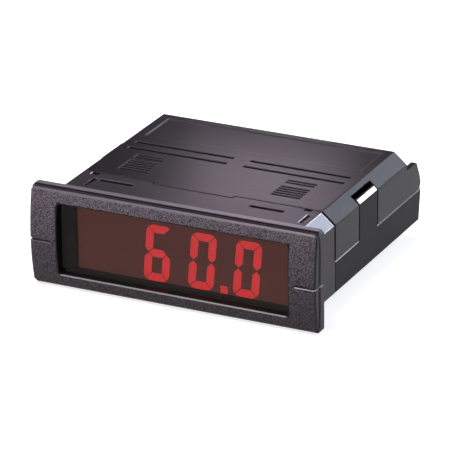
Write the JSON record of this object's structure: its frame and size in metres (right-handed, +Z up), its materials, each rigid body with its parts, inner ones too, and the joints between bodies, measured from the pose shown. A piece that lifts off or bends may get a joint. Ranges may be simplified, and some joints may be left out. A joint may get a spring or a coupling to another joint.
{
  "type": "digital panel meter",
  "caption": "Slim digital panel meter: a bezel with a red-tinted window over a lit digit display, and a bevelled snap-together case with rear screw terminals.",
  "frame": {"origin": "centre of the panel cut-out, on the rear face of the bezel's flange", "axes": "+X to the right as seen from the front, +Y to the rear through the panel, +Z up"},
  "size_m": [0.072, 0.0648, 0.0244],
  "materials": {
    "bezel_plastic": "coarse moulded grain",
    "case_plastic": "satin moulding",
    "lens_red": "clear red tint",
    "mask_black": "matt",
    "display_face": "smooth dark face",
    "segment_lit": "lit red",
    "segment_dark": "unlit diffuser",
    "board_green": "solder mask",
    "tin": "tinned wire",
    "part_black": "moulded package",
    "resistor_tan": "lacquer",
    "can_sleeve": "shrunk sleeve",
    "film_red": "dipped box",
    "trimmer_blue": "moulded box",
    "brass_screw": "turned",
    "steel_screw": "zinc plated",
    "clamp_steel": "zinc plated",
    "copper_tin": "tinned copper alloy",
    "terminal_plastic": "moulded block"
  },
  "bodies": {
    "meter": {"bezel": "bezel_plastic", "case_top": "case_plastic", "case_base": "case_plastic", "lens": "lens_red", "display_mask": "mask_black", "display_body": "display_face", "lit_segments": "segment_lit", "dark_segments": "segment_dark", "display_leads": "tin", "display_board": "board_green", "main_board": "board_green", "header_strip": "part_black", "header_pins": "tin", "converter_chip": "part_black", "converter_legs": "tin", "resistors": "resistor_tan", "resistor_leads": "tin", "supply_capacitors": "can_sleeve", "film_capacitors": "film_red", "regulator_tab": "tin", "regulator_body": "part_black", "regulator_legs": "tin", "zero_trimmer": "trimmer_blue", "span_trimmer": "trimmer_blue", "terminal_block": "terminal_plastic", "terminal_contacts": "copper_tin"},
    "zero_adjuster": {"zero_adjuster": "brass_screw"},
    "span_adjuster": {"span_adjuster": "brass_screw"},
    "terminal_screw_1": {"terminal_screw_1": "steel_screw"},
    "wire_clamp_1": {"wire_clamp_1": "clamp_steel"},
    "terminal_screw_2": {"terminal_screw_2": "steel_screw"},
    "wire_clamp_2": {"wire_clamp_2": "clamp_steel"},
    "terminal_screw_3": {"terminal_screw_3": "steel_screw"},
    "wire_clamp_3": {"wire_clamp_3": "clamp_steel"},
    "terminal_screw_4": {"terminal_screw_4": "steel_screw"},
    "wire_clamp_4": {"wire_clamp_4": "clamp_steel"},
    "terminal_screw_5": {"terminal_screw_5": "steel_screw"},
    "wire_clamp_5": {"wire_clamp_5": "clamp_steel"},
    "terminal_screw_6": {"terminal_screw_6": "steel_screw"},
    "wire_clamp_6": {"wire_clamp_6": "clamp_steel"},
    "terminal_screw_7": {"terminal_screw_7": "steel_screw"},
    "wire_clamp_7": {"wire_clamp_7": "clamp_steel"},
    "terminal_screw_8": {"terminal_screw_8": "steel_screw"},
    "wire_clamp_8": {"wire_clamp_8": "clamp_steel"}
  },
  "joints": [
    {"name": "zero_turn", "type": "hinge", "parent": "meter", "child": "zero_adjuster", "pos_m": [-0.0256, 0.0503, 0.00215], "axis": [0, 1, 0], "continuous": true},
    {"name": "span_turn", "type": "hinge", "parent": "meter", "child": "span_adjuster", "pos_m": [0.0256, 0.0503, 0.00215], "axis": [0, 1, 0], "continuous": true},
    {"name": "screw_1_turn", "type": "hinge", "parent": "meter", "child": "terminal_screw_1", "pos_m": [-0.01778, 0.0549, 0.002], "axis": [0, 0, -1], "range_deg": [0, 1530.5]},
    {"name": "clamp_1_rise", "type": "slide", "parent": "meter", "child": "wire_clamp_1", "axis": [0, 0, 1], "range_m": [0, 0.0017]},
    {"name": "screw_2_turn", "type": "hinge", "parent": "meter", "child": "terminal_screw_2", "pos_m": [-0.0127, 0.0549, 0.002], "axis": [0, 0, -1], "range_deg": [0, 1530.5]},
    {"name": "clamp_2_rise", "type": "slide", "parent": "meter", "child": "wire_clamp_2", "axis": [0, 0, 1], "range_m": [0, 0.0017]},
    {"name": "screw_3_turn", "type": "hinge", "parent": "meter", "child": "terminal_screw_3", "pos_m": [-0.00762, 0.0549, 0.002], "axis": [0, 0, -1], "range_deg": [0, 1530.5]},
    {"name": "clamp_3_rise", "type": "slide", "parent": "meter", "child": "wire_clamp_3", "axis": [0, 0, 1], "range_m": [0, 0.0017]},
    {"name": "screw_4_turn", "type": "hinge", "parent": "meter", "child": "terminal_screw_4", "pos_m": [-0.00254, 0.0549, 0.002], "axis": [0, 0, -1], "range_deg": [0, 1530.5]},
    {"name": "clamp_4_rise", "type": "slide", "parent": "meter", "child": "wire_clamp_4", "axis": [0, 0, 1], "range_m": [0, 0.0017]},
    {"name": "screw_5_turn", "type": "hinge", "parent": "meter", "child": "terminal_screw_5", "pos_m": [0.00254, 0.0549, 0.002], "axis": [0, 0, -1], "range_deg": [0, 1530.5]},
    {"name": "clamp_5_rise", "type": "slide", "parent": "meter", "child": "wire_clamp_5", "axis": [0, 0, 1], "range_m": [0, 0.0017]},
    {"name": "screw_6_turn", "type": "hinge", "parent": "meter", "child": "terminal_screw_6", "pos_m": [0.00762, 0.0549, 0.002], "axis": [0, 0, -1], "range_deg": [0, 1530.5]},
    {"name": "clamp_6_rise", "type": "slide", "parent": "meter", "child": "wire_clamp_6", "axis": [0, 0, 1], "range_m": [0, 0.0017]},
    {"name": "screw_7_turn", "type": "hinge", "parent": "meter", "child": "terminal_screw_7", "pos_m": [0.0127, 0.0549, 0.002], "axis": [0, 0, -1], "range_deg": [0, 1530.5]},
    {"name": "clamp_7_rise", "type": "slide", "parent": "meter", "child": "wire_clamp_7", "axis": [0, 0, 1], "range_m": [0, 0.0017]},
    {"name": "screw_8_turn", "type": "hinge", "parent": "meter", "child": "terminal_screw_8", "pos_m": [0.01778, 0.0549, 0.002], "axis": [0, 0, -1], "range_deg": [0, 1530.5]},
    {"name": "clamp_8_rise", "type": "slide", "parent": "meter", "child": "wire_clamp_8", "axis": [0, 0, 1], "range_m": [0, 0.0017]}
  ],
  "couplings": [
    {"joint": "screw_1_turn", "follows": "clamp_1_rise", "rad_per_m": 15708},
    {"joint": "screw_2_turn", "follows": "clamp_2_rise", "rad_per_m": 15708},
    {"joint": "screw_3_turn", "follows": "clamp_3_rise", "rad_per_m": 15708},
    {"joint": "screw_4_turn", "follows": "clamp_4_rise", "rad_per_m": 15708},
    {"joint": "screw_5_turn", "follows": "clamp_5_rise", "rad_per_m": 15708},
    {"joint": "screw_6_turn", "follows": "clamp_6_rise", "rad_per_m": 15708},
    {"joint": "screw_7_turn", "follows": "clamp_7_rise", "rad_per_m": 15708},
    {"joint": "screw_8_turn", "follows": "clamp_8_rise", "rad_per_m": 15708}
  ]
}
